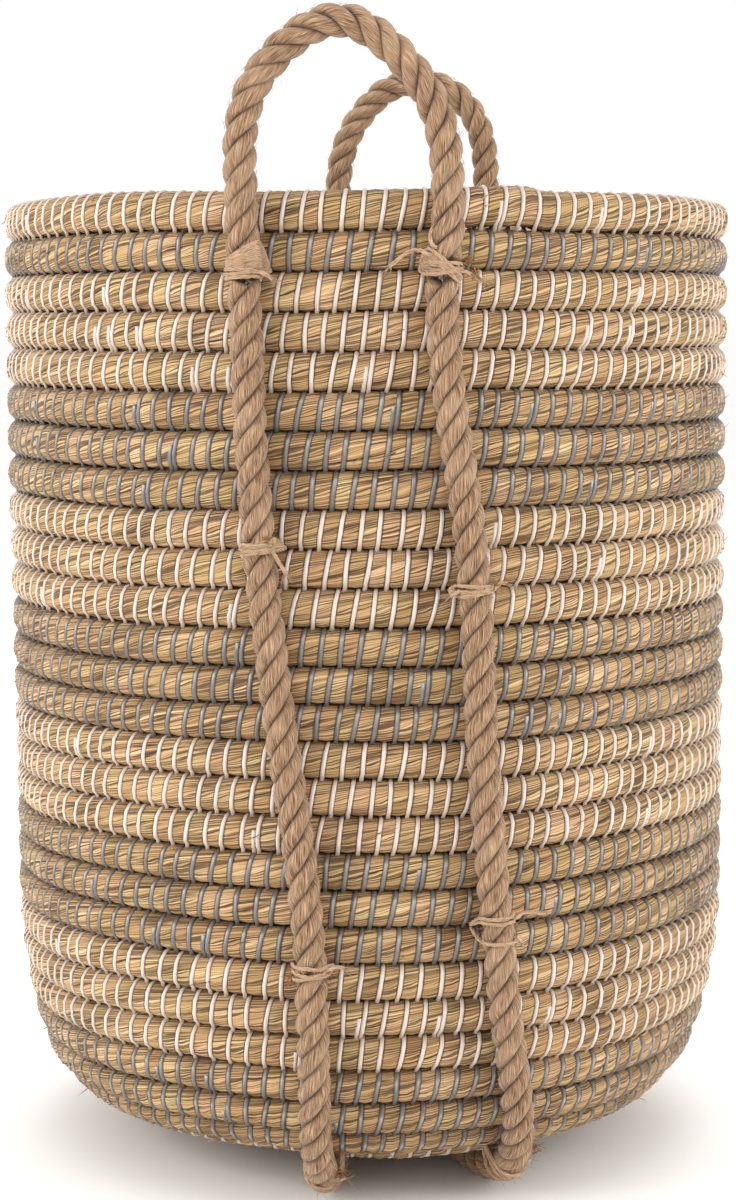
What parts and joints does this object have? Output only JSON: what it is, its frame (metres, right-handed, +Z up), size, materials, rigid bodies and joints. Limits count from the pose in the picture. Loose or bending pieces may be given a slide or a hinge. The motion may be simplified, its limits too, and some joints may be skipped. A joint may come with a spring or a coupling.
{
  "type": "laundry basket",
  "caption": "Tall round laundry basket of coiled straw, stitched in white and grey bands, open at the top, with jute rope handles that stand up and fold outwards.",
  "frame": {"origin": "on the floor, at the middle of the basket's outline, under its axis", "axes": "+Z up; -Y towards the front handle; +X to the right of someone facing the front handle"},
  "size_m": [0.4, 0.4387, 0.6136],
  "materials": {
    "straw": "dry split straw in bundles, matte with a faint sheen",
    "jute_rope": "three-strand twisted jute, hairy and matte",
    "jute_twine": "thin twisted jute, hairy and matte",
    "white_strip": "off-white plastic strip, satin",
    "grey_strip": "silver-grey plastic strip, soft metallic gloss"
  },
  "bodies": {
    "basket": {"coil_row_1": "straw", "coil_row_2": "straw", "coil_rows_3_to_5": "straw", "coil_rows_6_to_8": "straw", "coil_rows_9_to_11": "straw", "coil_rows_12_to_14": "straw", "coil_rows_15_to_17": "straw", "coil_rows_18_to_20": "straw", "coil_rows_21_to_23": "straw", "coil_rows_24_to_26": "straw", "coil_row_27": "straw", "coil_base": "straw", "left_rope": "jute_rope", "right_rope": "jute_rope", "front_left_tie_1": "jute_twine", "front_left_tie_2": "jute_twine", "front_left_tie_3": "jute_twine", "front_left_tie_4": "jute_twine", "front_right_tie_1": "jute_twine", "front_right_tie_2": "jute_twine", "front_right_tie_3": "jute_twine", "front_right_tie_4": "jute_twine", "back_left_tie_1": "jute_twine", "back_left_tie_2": "jute_twine", "back_left_tie_3": "jute_twine", "back_left_tie_4": "jute_twine", "back_right_tie_1": "jute_twine", "back_right_tie_2": "jute_twine", "back_right_tie_3": "jute_twine", "back_right_tie_4": "jute_twine"},
    "front_handle": {"front_handle": "jute_rope"},
    "back_handle": {"back_handle": "jute_rope"}
  },
  "joints": [
    {"name": "front_handle_swing", "type": "hinge", "parent": "basket", "child": "front_handle", "pos_m": [-0.01075, -0.20362, 0.5146], "axis": [0.9986, -0.0527, 0], "range_deg": [-35, 75], "stiffness_Nm_per_rad": 0.3},
    {"name": "back_handle_swing", "type": "hinge", "parent": "basket", "child": "back_handle", "pos_m": [0.029, 0.20239, 0.5146], "axis": [-0.9899, 0.1418, 0], "range_deg": [-35, 75], "stiffness_Nm_per_rad": 0.3}
  ]
}
